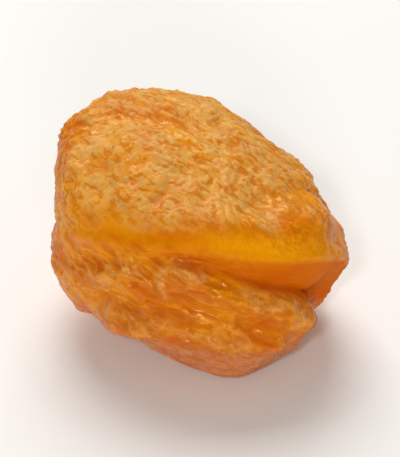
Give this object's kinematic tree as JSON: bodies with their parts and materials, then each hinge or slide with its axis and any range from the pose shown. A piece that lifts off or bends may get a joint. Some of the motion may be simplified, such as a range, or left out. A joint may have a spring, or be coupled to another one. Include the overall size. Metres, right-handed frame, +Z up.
{
  "type": "dried plum",
  "caption": "Golden dried plum: a squat, wrinkled oval fruit with a deep fold along its seam and a small flat spot that it rests on.",
  "frame": {"origin": "middle of the fruit's footprint, on the surface that it rests on", "axes": "+X towards the stem end, +Y away from the side with the seam, +Z up"},
  "size_m": [0.0302, 0.028, 0.0227],
  "materials": {
    "plum_skin": "satin"
  },
  "bodies": {
    "root": {"dried_plum": "plum_skin"}
  },
  "joints": []
}
